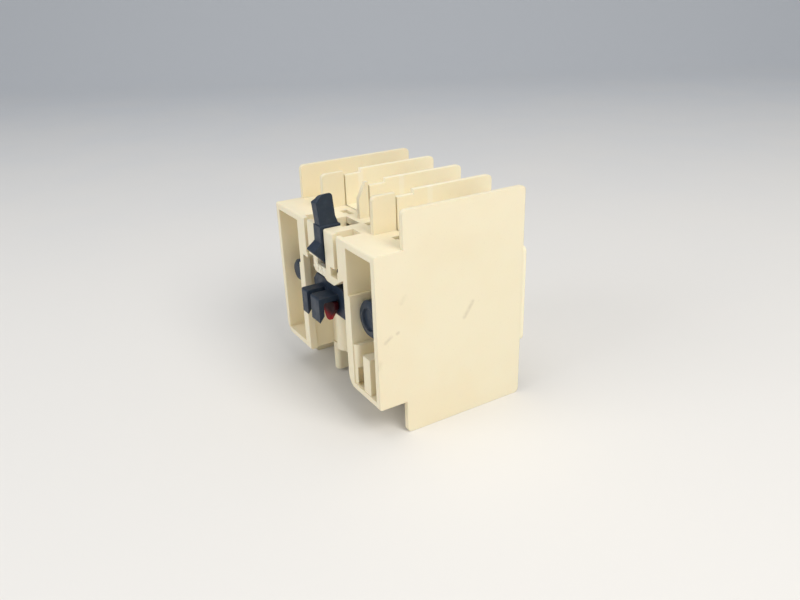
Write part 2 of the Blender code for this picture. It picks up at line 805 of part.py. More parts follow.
def make_nose(parts):
    """The front nose, a tray for the marker plate."""
    corners = [
        (-NOSE_HALF, NOSE_LOW),
        (NOSE_HALF, NOSE_LOW),
        (NOSE_HALF, NOSE_HIGH),
        (-NOSE_HALF, NOSE_HIGH),
    ]
    outline = rounded(corners, NOSE_CORNER)
    nose = prism("front_nose", "xz", outline, (NOSE_BACK, NOSE_FRONT), parts)
    pegs = combine(nose, "UNION", "nose_pegs")
    floor = NOSE_FRONT - TRAY
    for side in (-1, 1):
        depth = (FRONT_FACE, floor)
        bar("nose_peg", PEG, side * POLE_PITCH, depth, MIDDLE_Z, pegs, HOLE_ROUND)
    tray = combine(nose, "DIFFERENCE", "nose_tray")
    x = (-NOSE_HALF + NOSE_RIM, NOSE_HALF - NOSE_RIM)
    z = (NOSE_LOW + NOSE_RIM, NOSE_HIGH - NOSE_RIM)
    block("tray", x, (floor, NOSE_FRONT + REACH), z, tray)
    finish(nose, "cream", parts)
    make_marker(parts, x, floor, z)


def make_marker(parts, x, floor, z):
    """The blank marker plate that lies in the nose's tray."""
    x = (x[0] + GAP, x[1] - GAP)
    z = (z[0] + GAP, z[1] - GAP)
    depth = (floor + MARKER_SEAT, floor + MARKER_SEAT + MARKER)
    plate = block("marker_plate", x, depth, z, parts)
    finish(plate, "white", parts)


def strip_outline(side, closing):
    """A fixed contact seen from the side: terminal plate, leg and contact end.

    A closing pole's strip steps back towards the mounting face, an opening one is flat.
    """
    face = TERMINAL_FACE
    end = MIDDLE_Z + side * STRIP_END
    top = MIDDLE_Z + side * (BODY_HIGH - MIDDLE_Z - STRIP_TOP)
    if not closing:
        return [(face - STRIP, end), (face, end), (face, top), (face - STRIP, top)]
    leg = MIDDLE_Z + side * (CHAMBER_HALF - GAP)
    under = leg - side * STRIP
    back = SEAT - TRAVEL - 2 * TIP_DEPTH - STRIP - GAP / 2
    return [
        (back, end),
        (back + STRIP, end),
        (back + STRIP, under),
        (face, under),
        (face, top),
        (face - STRIP, top),
        (face - STRIP, leg),
        (back, leg),
    ]


def make_contact(parts, pole, name, side, closing):
    """A fixed contact with its round tip and the hole for its screw."""
    outline = strip_outline(side, closing)
    x = (pole - STRIP_HALF, pole + STRIP_HALF)
    strip = prism("contact_" + name, "yz", outline, x, parts)
    if closing:
        seat = outline[1][0]
        depth = (seat - STRIP / 2, seat + TIP_DEPTH)
    else:
        seat = outline[0][0]
        depth = (seat - TIP_DEPTH, seat + STRIP / 2)
    tips = combine(strip, "UNION", "tip_" + name)
    bar("tip", TIP, pole, depth, MIDDLE_Z + side * TIP_RISE, tips, HOLE_ROUND)
    holes = combine(strip, "DIFFERENCE", "strip_hole_" + name)
    depth = (TERMINAL_FACE - 2 * STRIP, TERMINAL_FACE + STRIP)
    height = MIDDLE_Z + side * SCREW_RISE
    bar("hole", SCREW + GAP, pole, depth, height, holes, HOLE_ROUND)
    finish(strip, "brass", parts)


def make_clamp(parts, pole, name, side):
    """The washer plate that presses the wire, with a lip turned down at each side."""
    depth = TERMINAL_FACE + CLAMP_LIFT
    half = CLAMP_HALF
    outline = [
        (pole - half, depth - CLAMP_LIP),
        (pole - half + CLAMP, depth - CLAMP_LIP),
        (pole - half + CLAMP, depth),
        (pole + half - CLAMP, depth),
        (pole + half - CLAMP, depth - CLAMP_LIP),
        (pole + half, depth - CLAMP_LIP),
        (pole + half, depth + CLAMP, EDGE),
        (pole - half, depth + CLAMP, EDGE),
    ]
    height = MIDDLE_Z + side * SCREW_RISE
    z = sorted((height - side * CLAMP_IN, height + side * CLAMP_OUT))
    clamp = prism("clamp_" + name, "xy", rounded(outline, steps=3), z, parts)
    hole = combine(clamp, "DIFFERENCE", "clamp_hole_" + name)
    depth = (depth - REACH, depth + CLAMP + REACH)
    bar("hole", SCREW + GAP, pole, depth, height, hole, HOLE_ROUND)
    finish(clamp, "steel", parts)


def make_screw(parts, pole, name, side):
    """A slotted terminal screw, backed out of the clamp as it is delivered."""
    height = MIDDLE_Z + side * SCREW_RISE
    head = (HEAD_SEAT, HEAD_SEAT + HEAD_TALL)
    crown = HEAD - HEAD_CROWN
    screw = bar("screw_" + name, HEAD, pole, head, height, parts, BAR_ROUND, crown)
    shank = combine(screw, "UNION", "shank_" + name)
    depth = (SCREW_END, HEAD_SEAT + LAP)
    bar("shank", SCREW, pole, depth, height, shank, HOLE_ROUND)
    slot = combine(screw, "DIFFERENCE", "screw_slot_" + name)
    x = (pole - HEAD - REACH, pole + HEAD + REACH)
    depth = (HEAD_SEAT + DRIVE_FLOOR, HEAD_SEAT + HEAD_TALL + REACH)
    block("slot", x, depth, (height - DRIVE, height + DRIVE), slot)
    finish(screw, "steel", parts)


def is_closing(pole):
    return abs(pole) > POLE_PITCH


def cage_front(pole):
    """The far end of a pole's cage: closing poles hold a longer spring."""
    return BAR_FRONT + CAGE + (CAGE_MORE if is_closing(pole) else 0)


def bridge_seat(pole):
    """The bridge lies at the near end of a closing cage, at the far end of an opening one."""
    return SEAT if is_closing(pole) else cage_front(pole) - GAP - STRIP


def carriage_additions(group):
    """Posts, stems, plungers, plate and hook joined to the bar."""
    for pole in POLES:
        x = (pole - POST, pole + POST)
        depth = (BAR_FRONT - REACH, cage_front(pole) + CAGE_WALL)
        block("post", x, depth, both(BAR_HALF), group)
    for pole in (-INNER, INNER):
        bar("stem", STEM, pole, (cage_front(pole) + LAP, STEM_END), MIDDLE_Z, group)
    for pole, radius, face in ((-OUTER, SMALL_DISC, SMALL_FACE), (OUTER, DISC, DISC_FACE)):
        bar("plunger", PLUNGER, pole, (face + REACH, BAR_BACK + REACH), MIDDLE_Z, group)
        height = MIDDLE_Z + DISC_RISE
        rim = face + DISC_BEVEL
        bar("disc", radius, pole, (rim, DISC_BACK), height, group, ROUND)
        lap = (face, rim + GAP / 10)
        bar("disc_face", radius - DISC_BEVEL, pole, lap, height, group, ROUND, radius)
    prism("plate", "xz", plate_outline(), (PLATE_FACE, PLATE_DEEP), group)
    z = (PLATE_LOW + EDGE, PLATE_HIGH - HOOK_FLANGE)
    block("neck", (-NECK, NECK), (PLATE_FACE + REACH, BAR_BACK + REACH), z, group)
    prism("hook", "yz", hook_outline(), (-HOOK_HALF, HOOK_HALF), group)


def plate_outline():
    """The plate behind the hook, cut off at its upper corners."""
    inner = PLATE_HALF - PLATE_CORNER
    low = PLATE_HIGH - PLATE_CORNER
    return rounded(
        [
            (-PLATE_HALF, PLATE_LOW, 2 * EDGE),
            (PLATE_HALF, PLATE_LOW, 2 * EDGE),
            (PLATE_HALF, low),
            (inner, PLATE_HIGH),
            (-inner, PLATE_HIGH),
            (-PLATE_HALF, low),
        ]
    )


def hook_outline():
    """The hook from the side: a flange with a pointed foot, hung from a roof."""
    back = HOOK_FACE + HOOK_FLANGE
    end = PLATE_FACE + LAP
    return rounded(
        [
            (HOOK_FACE, HOOK_LOW),
            (back, HOOK_LOW + HOOK_POINT),
            (back, HOOK_HIGH - HOOK_ROOF, EDGE),
            (end, HOOK_HIGH - HOOK_ROOF),
            (end, HOOK_HIGH),
            (HOOK_FACE, HOOK_HIGH, EDGE),
        ]
    )


def carriage_cutters(group):
    """The cages that hold a bridge and its spring, the slit in the hook and the dish."""
    for pole in POLES:
        x = (pole - SLOT, pole + SLOT)
        depth = (BAR_FRONT + CAGE_STEP, cage_front(pole))
        block("cage", x, depth, both(BAR_HALF + REACH), group)
    depth = (HOOK_FACE - REACH, SLIT_END)
    z = (HOOK_LOW - REACH, HOOK_HIGH + REACH)
    block("slit", (SLIT_LEFT, SLIT_RIGHT), depth, z, group)
    dish = DISC - DISH_RIM - DISC_BEVEL
    depth = (DISC_FACE - REACH, DISC_FACE + DISH)
    bar("dish", dish, OUTER, depth, MIDDLE_Z + DISC_RISE, group, ROUND, dish - DISH)


def make_carriage(parts, pivot):
    half = OUTER + POST
    depth = (BAR_BACK, BAR_FRONT)
    carriage = block("carriage", (-half, half), depth, both(BAR_HALF), parts)
    carriage_additions(combine(carriage, "UNION", "carriage_additions"))
    carriage_cutters(combine(carriage, "DIFFERENCE", "carriage_cutters"))
    finish(carriage, "slate", parts, pivot)


def make_insert(parts, pivot):
    """The red insert that shows under the hook, narrow at its lower tip."""
    low = INSERT_LOW
    side = INSERT_LEFT + INSERT_TIP
    corners = [
        (INSERT_LEFT, INSERT_HIGH),
        (INSERT_LEFT, low + 3 * INSERT_TIP, EDGE),
        (side, low + INSERT_TIP, EDGE),
        (side + INSERT_TIP_HALF, low, EDGE),
        (side + 3 * INSERT_TIP_HALF, low, EDGE),
        (INSERT_RIGHT - 2 * INSERT_TIP, low + 4 * INSERT_TIP, EDGE),
        (INSERT_RIGHT, low + 6 * INSERT_TIP, EDGE),
        (INSERT_RIGHT, INSERT_HIGH),
    ]
    depth = (INSERT_FACE, PLATE_FACE - GAP)
    insert = prism("red_insert", "xz", rounded(corners, steps=2), depth, parts)
    finish(insert, "red", parts, pivot)


def bridge_outline(pole):
    """A bridge from the front: narrow where the cage holds it, wide at its ends."""
    waist = SLOT - GAP
    wide = waist + TIP_DEPTH + GAP
    reach = TIP_RISE + TIP + GAP
    shoulder = BAR_HALF + LAP
    corners = []
    for x_side, z_side in ((1, -1), (1, 1), (-1, 1), (-1, -1)):
        wing = [
            (pole + x_side * wide, MIDDLE_Z + z_side * reach, EDGE),
            (pole + x_side * wide, MIDDLE_Z + z_side * (shoulder + STRIP)),
            (pole + x_side * waist, MIDDLE_Z + z_side * shoulder),
        ]
        corners += wing if x_side * z_side < 0 else wing[::-1]
    return rounded(corners)


def make_bridge(parts, pole, number, pivot):
    """A contact bridge with its two contacts, and the spring that loads it."""
    seat = bridge_seat(pole)
    near = is_closing(pole)
    depth = (seat, seat + STRIP)
    bridge = prism("bridge_%d" % number, "xz", bridge_outline(pole), depth, parts)
    tips = combine(bridge, "UNION", "bridge_tips_%d" % number)
    middle = seat + STRIP / 2
    face = seat - TIP_DEPTH if near else seat + STRIP + TIP_DEPTH
    for height in both(TIP_RISE):
        bar("bridge_tip", TIP, pole, (face, middle), height, tips, HOLE_ROUND)
    finish(bridge, "brass", parts, pivot)
    if near:
        depth = (seat + STRIP + GAP, cage_front(pole) - GAP)
    else:
        depth = (SEAT, seat - GAP)
    name = "contact_spring_%d" % number
    spring = coil(name, CONTACT_WIRE, SLOT - GAP, 4, pole, depth, MIDDLE_Z, parts)
    finish(spring, "steel", parts, pivot)


def make_return_springs(parts):
    """Two springs between the shell's back wall and the carriage's bar."""
    depth = (BACK_FRONT + GAP, BAR_BACK - GAP)
    for number, side in enumerate((-1, 1), 1):
        name = "return_spring_%d" % number
        x = side * POLE_PITCH
        spring = coil(name, RETURN_WIRE, RETURN_COIL, 5, x, depth, MIDDLE_Z, parts)
        finish(spring, "steel", parts)


def lever_outline():
    """The lever from the side: hub, tooth with two ramps, neck and shoulder."""
    hub = []
    for step in range(7):
        turn = math.radians(170 + 150 * step / 6)
        place = Vector((math.cos(turn), math.sin(turn))) * HUB
        hub.append((PIVOT_Y + place.x, PIVOT_Z + place.y))
    return hub + [
        (LEVER_BACK + HEEL, PIVOT_Z + HEEL),
        (LEVER_BACK, HEEL_HIGH),
        (LEVER_BACK, SHOULDER_LOW - TRUNNION),
        (SHOULDER_BACK, SHOULDER_LOW),
        (SHOULDER_BACK, SHOULDER_HIGH),
        (LEVER_FACE, SHOULDER_HIGH),
        (LEVER_FACE, TOOTH_LOW + TOOTH_RAMP),
        (TOOTH, TOOTH_LOW + TOOTH_EDGE),
        (TOOTH, TOOTH_LOW),
        (TOE, TOE_HIGH),
    ]


def tab_outline():
    """The finger tab above the shoulder: flared at its root, turned over at its top."""
    return rounded(
        [
            (LEVER_FACE + GAP, SHOULDER_LOW + EDGE),
            (SHOULDER_BACK - GAP, SHOULDER_LOW + EDGE),
            (SHOULDER_BACK - EDGE, SHOULDER_HIGH + GAP, EDGE),
            (TAB_BACK + EDGE, SHOULDER_HIGH + TAB_FLARE, TAB_ARC),
            (TAB_BACK, TAB_HIGH, TAB_ARC / 2),
            (TAB_BACK / 4, TAB_HIGH, TAB_ARC),
            (TAB_FACE, TAB_HIGH - TAB_FLARE, EDGE),
        ]
    )


def make_latch(parts):
    """The latch lever with its trunnions, and the spring behind it."""
    pivot = at(0, PIVOT_Y, PIVOT_Z)
    lever = prism("latch_lever", "yz", lever_outline(), (-LATCH, LATCH), parts)
    extras = combine(lever, "UNION", "lever_additions")
    prism("tab", "yz", tab_outline(), (-TAB, TAB), extras)
    half = NOTCH_IN - GAP
    start = at(-half, PIVOT_Y, PIVOT_Z)
    end = at(half, PIVOT_Y, PIVOT_Z)
    rod("trunnions", "x", TRUNNION, start, end, extras)
    finish(lever, "slate", parts, pivot)
    depth = (LEVER_BACK + GAP, SLOT_BACK - GAP)
    spring = coil("latch_spring", LATCH_WIRE, LATCH_COIL, 4, 0, depth, SPRING_Z, parts)
    finish(spring, "steel", parts)


def main():
    clear_scene()
    parts = new_group(PARTS_NAME)
    make_shell(parts)
    make_frame(parts)
    make_nose(parts)
    for number, pole in enumerate(POLES, 1):
        for side, row in ((1, "upper"), (-1, "lower")):
            name = "%s_%d" % (row, number)
            make_contact(parts, pole, name, side, is_closing(pole))
            make_clamp(parts, pole, name, side)
            make_screw(parts, pole, name, side)
    pivot = at(0, BAR_BACK, MIDDLE_Z)
    make_carriage(parts, pivot)
    make_insert(parts, pivot)
    for number, pole in enumerate(POLES, 1):
        make_bridge(parts, pole, number, pivot)
    make_return_springs(parts)
    make_latch(parts)
    connect_groups()
    settle(parts)


main()
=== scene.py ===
"""Looks of the auxiliary contact block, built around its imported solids.

Positions are metres in the record's frame. Depth is counted from the mounting face,
as in the part's source: y = FACE_Y + depth.
"""

import math

import bmesh
import bpy
import numpy as np
from mathutils import Matrix, Vector


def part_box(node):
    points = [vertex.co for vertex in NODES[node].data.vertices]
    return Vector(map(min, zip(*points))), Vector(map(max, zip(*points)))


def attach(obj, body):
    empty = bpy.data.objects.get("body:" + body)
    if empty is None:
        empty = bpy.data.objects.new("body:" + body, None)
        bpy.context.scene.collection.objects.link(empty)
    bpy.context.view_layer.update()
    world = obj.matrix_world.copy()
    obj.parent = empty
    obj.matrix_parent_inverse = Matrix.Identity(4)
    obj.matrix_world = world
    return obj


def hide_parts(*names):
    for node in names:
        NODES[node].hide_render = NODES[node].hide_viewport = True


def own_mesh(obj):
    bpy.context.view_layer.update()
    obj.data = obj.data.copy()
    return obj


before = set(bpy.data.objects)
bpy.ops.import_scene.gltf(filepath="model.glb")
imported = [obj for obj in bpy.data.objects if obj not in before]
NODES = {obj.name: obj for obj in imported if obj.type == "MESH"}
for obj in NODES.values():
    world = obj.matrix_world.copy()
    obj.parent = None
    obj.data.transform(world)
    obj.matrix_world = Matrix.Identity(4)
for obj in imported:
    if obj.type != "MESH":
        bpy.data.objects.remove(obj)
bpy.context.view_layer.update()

MM = 0.001
FACE_Y = -16.4 * MM

# Camera, fitted to corners of the fins and of the body
AZIMUTH = 59.164
ELEVATION = 23.904
ROLL = -1.867
DISTANCE = 162.57 * MM
TARGET = (0.78 * MM, 1.52 * MM, 18.67 * MM)
FOCAL_PIXELS = 730.68
PICTURE_WIDTH = 800
SENSOR = 36.0

# Colours, as Blender's linear values
CREAM = (0.885, 0.8, 0.585)
CREAM_WARM = (0.875, 0.775, 0.55)
CREAM_PALE = (0.93, 0.88, 0.74)
# The frame's cream: a paler copy of the shell's cream, painted light so the fins look as bright as the
# lit side plate
FRAME_CREAM_PAINTED_LIGHT = (0.94, 0.86, 0.64)
FRAME_WARM_PAINTED_LIGHT = (0.93, 0.835, 0.605)
# Scuff brown, also painted as the shade in the rough patch's pits
SCUFF_AND_PIT_SHADE = (0.45, 0.38, 0.26)
SLATE = (0.012, 0.024, 0.045)
SLATE_LIGHT = (0.034, 0.05, 0.076)
# The insert's red as lit at its lower tip, and a darker red painted as the shade above it
RED = (0.44, 0.005, 0.007)
RED_PAINTED_SHADE = (0.035, 0.002, 0.004)
BRASS = (0.73, 0.5, 0.2)
BRASS_DARK = (0.45, 0.27, 0.1)
ZINC = (0.6, 0.61, 0.62)
ZINC_DARK = (0.36, 0.37, 0.4)
CARD = (0.86, 0.855, 0.82)
CARD_FIBRE = (0.8, 0.79, 0.74)
SPECK = (0.5, 0.4, 0.28)
# Pale cream painted as highlight in bands down the fins
FIN_PAINTED_HIGHLIGHT = (0.97, 0.92, 0.78)
SLATE_FLECK = (0.16, 0.16, 0.17)
STEEL = (0.62, 0.6, 0.57)
STEEL_DARK = (0.34, 0.33, 0.33)

# Tip of the latch lever's finger tab, which slopes across
TIP_START = 44.1 * MM
TIP_HIGH = 1.2 * MM
TIP_HALF = 1.25 * MM
TIP_DROP = 0.8 * MM

# Rounding of the moulded edges, and how far the front nose grows in X, Y and Z each way
SHELL_EDGE = 0.14 * MM
CARRIAGE_EDGE = 0.2 * MM
INSERT_EDGE = 0.12 * MM
LEVER_EDGE = 0.1 * MM
NOSE_GROWTH = (0.4 * MM, 0, 0.15 * MM)

# Turns between faces: rounded over above the first, joined as flat below the second, and
# shaded smooth below the third
EDGE_TURN = math.radians(50)
FLAT_TURN = math.radians(0.5)
SMOOTH_TURN = math.radians(35)

# Terminal screws
HEAD_HEIGHT = 1.9 * MM
SLOT_HALF = 0.42 * MM
SLOT_DEPTH = 0.95 * MM
CROWN_DROP = 0.75 * MM
CROWN_EASE = 0.05 * MM
SHANK_RADIUS = 1.4 * MM
SHANK_LAP = 0.3 * MM
THREAD_PITCH = 0.5 * MM
THREAD_DEPTH = 0.26 * MM

# Clamp plates: the rim's squareness is the power of its p-norm
CLAMP_HOLE = 1.72 * MM
CLAMP_THICK = 0.8 * MM
RIM_SQUARENESS = 14
RIM_EASE = 0.12 * MM
RIDGE_HIGH = 0.07 * MM
RIDGE_PITCH = 0.7 * MM
LIP_WIDE = 0.95 * MM
LIP_RAMP = 0.15 * MM

# Springs: wire radius and turns, then the joint that works each and a share given with it; the coils
# only take their own mesh where a joint is given
CONTACT_COIL = (0.2 * MM, 6)
RETURN_COIL = (0.25 * MM, 7)
LATCH_COIL = (0.18 * MM, 6)
RETURN_SQUASH = ("carriage_slide", 0.55)
LATCH_SQUASH = ("latch_rock", 0.72)

# Share of a coil's length that each flat end turn takes
DEAD_SHARE = 0.06

# Where marks lie: the side plate and the rough patch in mm, the fins' foot where their painted
# highlight bands begin, and the red insert's painted light at its lower tip
PLATE_X = 22
ROUGH_MIDDLE = (-1.0, 0, 30.2)
ROUGH_INNER = 1.5 * MM
ROUGH_OUTER = 3.4 * MM
FIN_FOOT_LOW = 38.5 * MM
FIN_FOOT_HIGH = 39.5 * MM
RED_PAINTED_LIGHT_LOW = 19.0 * MM
RED_PAINTED_LIGHT_HIGH = 21.7 * MM

# Studio: a plain pale sweep, a little warm by the block, and cooler and darker behind it as painted
# shade of the light falling off
FLOOR_NEAR = (0.8, 0.78, 0.75)
FLOOR_FAR_PAINTED_SHADE = (0.7, 0.72, 0.75)
FLOOR_TURN_START = 0.0
FLOOR_TURN_END = 0.6
SWEEP_FRONT = 0.6
SWEEP_BACK = 0.5
SWEEP_RADIUS = 0.5
SWEEP_HIGH = 1.6
SWEEP_WIDE = 1.6
WORLD_LEVEL = 0.45
WORLD_COLOUR = (0.93, 0.96, 1.0, 1)

# Lamps: name, place, aim, width of the disc, watts and colour
LAMPS = (
    ("key", (0.4, 0.05, 0.42), (0, 0, 0.02), 0.32, 1.7, (1.0, 0.97, 0.92)),
    ("top", (0.0, 0.0, 0.6), (0, 0, 0), 0.5, 0.85, (1.0, 0.985, 0.96)),
    ("fill", (-0.05, -0.5, 0.25), (0, 0, 0.02), 0.4, 0.9, (0.95, 0.97, 1.0)),
)


def at(x, depth, z):
    """A point in metres from millimetres of width, depth and height."""
    return np.array([x * MM, FACE_Y + depth * MM, z * MM])


# Materials


class Recipe:
    """A material's nodes, added by name with their inputs, and linked as they come."""

    def __init__(self, name):
        self.material = bpy.data.materials.new(name)
        self.material.use_nodes = True
        self.tree = self.material.node_tree
        self.shader = self.tree.nodes["Principled BSDF"]
        self.place = self.add("ShaderNodeTexCoord").outputs["Object"]

    def add(self, kind, inputs=None, **settings):
        """A node of a kind, with its settings and its inputs by name."""
        node = self.tree.nodes.new(kind)
        for key, value in settings.items():
            setattr(node, key, value)
        for key, value in (inputs or {}).items():
            self.put(node.inputs[key], value)
        return node

    def put(self, socket, value):
        """A link where the value is another node's output, and a plain value otherwise."""
        if isinstance(value, bpy.types.NodeSocket):
            self.tree.links.new(value, socket)
        elif socket.type == "RGBA" and len(value) == 3:
            socket.default_value = (*value, 1)
        else:
            socket.default_value = value

    def noise(self, scale, detail=3.0, rough=0.55, stretch=None):
        """Noise of so many lumps a metre, drawn out where it is stretched."""
        where = self.place
        if stretch:
            where = self.add("ShaderNodeMapping", {"Vector": where, "Scale": stretch}).outputs[0]
        inputs = {"Vector": where, "Scale": scale, "Detail": detail, "Roughness": rough}
        return self.add("ShaderNodeTexNoise", inputs).outputs["Fac"]

    def spread(self, value, low, high, to_low=0.0, to_high=1.0):
        """The value carried smoothly from one range to another and held at its ends."""
        inputs = {
            "Value": value,
            "From Min": low,
            "From Max": high,
            "To Min": to_low,
            "To Max": to_high,
        }
        node = self.add("ShaderNodeMapRange", inputs, interpolation_type="SMOOTHSTEP")
        return node.outputs["Result"]

    def blend(self, share, first, second):
        """The first colour turned into the second by a share."""
        node = self.add("ShaderNodeMix", data_type="RGBA")
        self.put(node.inputs[0], share)
        self.put(node.inputs[6], first)
        self.put(node.inputs[7], second)
        return node.outputs[2]

    def maths(self, kind, first, second):
        """One step of arithmetic on two values."""
        node = self.add("ShaderNodeMath", operation=kind)
        self.put(node.inputs[0], first)
        self.put(node.inputs[1], second)
        return node.outputs[0]

    def grain(self, height, strength, depth, normal):
        """A relief of a depth in metres, laid over the normal given."""
        inputs = {"Height": height, "Strength": strength, "Distance": depth, "Normal": normal}
        return self.add("ShaderNodeBump", inputs).outputs["Normal"]

    def soft_edges(self, radius):
        """The normal of edges rounded over by a radius."""
        return self.add("ShaderNodeBevel", {"Radius": radius}, samples=6).outputs["Normal"]

    def finish(self, **values):
        """The shader's own inputs, by name, and the finished material."""
        for key, value in values.items():
            self.put(self.shader.inputs[key.replace("_", " ")], value)
        return self.material


def streak(recipe, start, end, width):
    """How close a point is to a straight scuff on the side plate, 1 on it and 0 beyond it."""
    start, end = Vector(start), Vector(end)
    line = end - start
    offset = recipe.add("ShaderNodeVectorMath", operation="SUBTRACT")
    recipe.put(offset.inputs[0], recipe.place)
    offset.inputs[1].default_value = start
    along = recipe.add("ShaderNodeVectorMath", operation="DOT_PRODUCT")
    recipe.put(along.inputs[0], offset.outputs[0])
    along.inputs[1].default_value = line / line.length_squared
    held = recipe.add("ShaderNodeClamp", {"Value": along.outputs["Value"]}).outputs[0]
    back = recipe.add("ShaderNodeVectorMath", operation="SCALE")
    back.inputs[0].default_value = line
    recipe.put(back.inputs["Scale"], held)
    gap = recipe.add("ShaderNodeVectorMath", operation="DISTANCE")
    recipe.put(gap.inputs[0], offset.outputs[0])
    recipe.put(gap.inputs[1], back.outputs[0])
    return recipe.spread(gap.outputs["Value"], 0.0, width, 1.0, 0.0)


def near(recipe, centre, inner, outer):
    """1 within the inner radius of a point, falling to 0 at the outer radius."""
    gap = recipe.add("ShaderNodeVectorMath", operation="DISTANCE")
    recipe.put(gap.inputs[0], recipe.place)
    gap.inputs[1].default_value = centre
    return recipe.spread(gap.outputs["Value"], inner, outer, 1.0, 0.0)


# Scuffs on the +X side plate: start, end (depth, height in mm), width in mm and strength
SCUFFS = (
    ((20.1, 22.1), (22.1, 25.0), 0.75, 0.34),
    ((1.8, 21.6), (3.1, 22.5), 0.62, 0.34),
    ((4.4, 22.9), (4.7, 23.0), 0.55, 0.4),
    ((5.5, 28.9), (6.4, 30.0), 0.8, 0.14),
    ((0.2, 16.6), (0.5, 17.6), 0.9, 0.16),
)

# Faint pale bands of painted highlight down the fins: first and last X and depth, in mm
FIN_PAINTED_HIGHLIGHT_BANDS = ((-16.0, -6.0, 15.5), (-6.0, 17.0, 19.4))


def painted_fin_highlights(recipe):
    """Painted highlight: 1 on the bands of the fins above the body and 0 beside them."""
    place = recipe.add("ShaderNodeSeparateXYZ", {"Vector": recipe.place}).outputs
    above = recipe.spread(place["Z"], FIN_FOOT_LOW, FIN_FOOT_HIGH)
    share = None
    for first, last, depth in FIN_PAINTED_HIGHLIGHT_BANDS:
        after = recipe.maths("GREATER_THAN", place["X"], first * MM)
        before = recipe.maths("LESS_THAN", place["X"], last * MM)
        off = recipe.maths("SUBTRACT", place["Y"], FACE_Y + depth * MM)
        off = recipe.maths("ABSOLUTE", off, 0.0)
        band = recipe.spread(off, 0.3 * MM, 0.9 * MM, 0.45, 0.0)
        band = recipe.maths("MULTIPLY", band, recipe.maths("MULTIPLY", after, before))
        share = band if share is None else recipe.maths("ADD", share, band)
    return recipe.maths("MULTIPLY", share, above)


def scuff_marks(recipe):
    """The strongest of the side plate's scuffs at a point, broken up by noise."""
    mark = None
    for start, end, width, strength in SCUFFS:
        first, last = at(PLATE_X, *start), at(PLATE_X, *end)
        one = recipe.maths("MULTIPLY", streak(recipe, first, last, width * MM), strength)
        mark = one if mark is None else recipe.maths("MAXIMUM", mark, one)
    broken = recipe.spread(recipe.noise(1100, 3.0, 0.6), 0.3, 0.6, 0.35, 1.0)
    return recipe.maths("MULTIPLY", mark, broken)


def rough_patch(recipe, colour):
    """The cross wall's rough patch: pale chalk on the noise's heights and painted shade of pits in its
    lows.
    """
    patch = near(recipe, at(*ROUGH_MIDDLE), ROUGH_INNER, ROUGH_OUTER)
    patch = recipe.maths("MULTIPLY", patch, 0.9)
    chalk = recipe.noise(1500, 4.0, 0.7)
    pale = recipe.maths("MULTIPLY", patch, recipe.spread(chalk, 0.48, 0.56))
    colour = recipe.blend(pale, colour, CREAM_PALE)
    # painted shade: the patch's lows darkened as shaded pits
    painted_pit_shade = recipe.maths("MULTIPLY", patch, recipe.spread(chalk, 0.38, 0.48, 0.7, 0.0))
    return recipe.blend(painted_pit_shade, colour, SCUFF_AND_PIT_SHADE)


def cream_moulding(name, light, warm, scuffed=False, painted_bands=False):
    """Cream satin moulding: cloudy colour, fine grain and softened edges, with painted highlight bands
    where asked.
    """
    recipe = Recipe(name)
    cloud = recipe.spread(recipe.noise(70, 2.0), 0.35, 0.7)
    colour = recipe.blend(cloud, light, warm)
    speck = recipe.spread(recipe.noise(2600, 1.0), 0.68, 0.78, 0.0, 0.12)
    colour = recipe.blend(speck, colour, SPECK)
    if painted_bands:
        # painted highlight in bands down the fins
        colour = recipe.blend(painted_fin_highlights(recipe), colour, FIN_PAINTED_HIGHLIGHT)
    if scuffed:
        colour = recipe.blend(scuff_marks(recipe), colour, SCUFF_AND_PIT_SHADE)
        colour = rough_patch(recipe, colour)
    grain = recipe.noise(5200, 2.0, 0.6)
    wave = recipe.noise(160, 1.0)
    height = recipe.maths("ADD", recipe.maths("MULTIPLY", wave, 6.0), grain)
    normal = recipe.grain(height, 0.18, 0.03 * MM, recipe.soft_edges(0.22 * MM))
    roughness = recipe.spread(recipe.noise(420, 3.0), 0.3, 0.7, 0.38, 0.5)
    return recipe.finish(
        Base_Color=colour,
        Roughness=roughness,
        Normal=normal,
        Subsurface_Weight=0.12,
        Subsurface_Radius=(1.0, 0.55, 0.3),
        Subsurface_Scale=1.2 * MM,
    )


def slate_moulding(name):
    """Dark slate moulding with a fine grain, paler dust and softened edges."""
    recipe = Recipe(name)
    dust = recipe.spread(recipe.noise(500, 4.0, 0.65), 0.45, 0.8, 0.0, 0.6)
    colour = recipe.blend(dust, SLATE, SLATE_LIGHT)
    fleck = recipe.spread(recipe.noise(3800, 1.0), 0.74, 0.82, 0.0, 0.35)
    colour = recipe.blend(fleck, colour, SLATE_FLECK)
    height = recipe.noise(4500, 2.0, 0.6)
    normal = recipe.grain(height, 0.25, 0.03 * MM, recipe.soft_edges(0.25 * MM))
    roughness = recipe.spread(recipe.noise(650, 3.0), 0.3, 0.7, 0.36, 0.52)
    return recipe.finish(
        Base_Color=colour, Roughness=roughness, Specular_IOR_Level=0.4, Normal=normal
    )


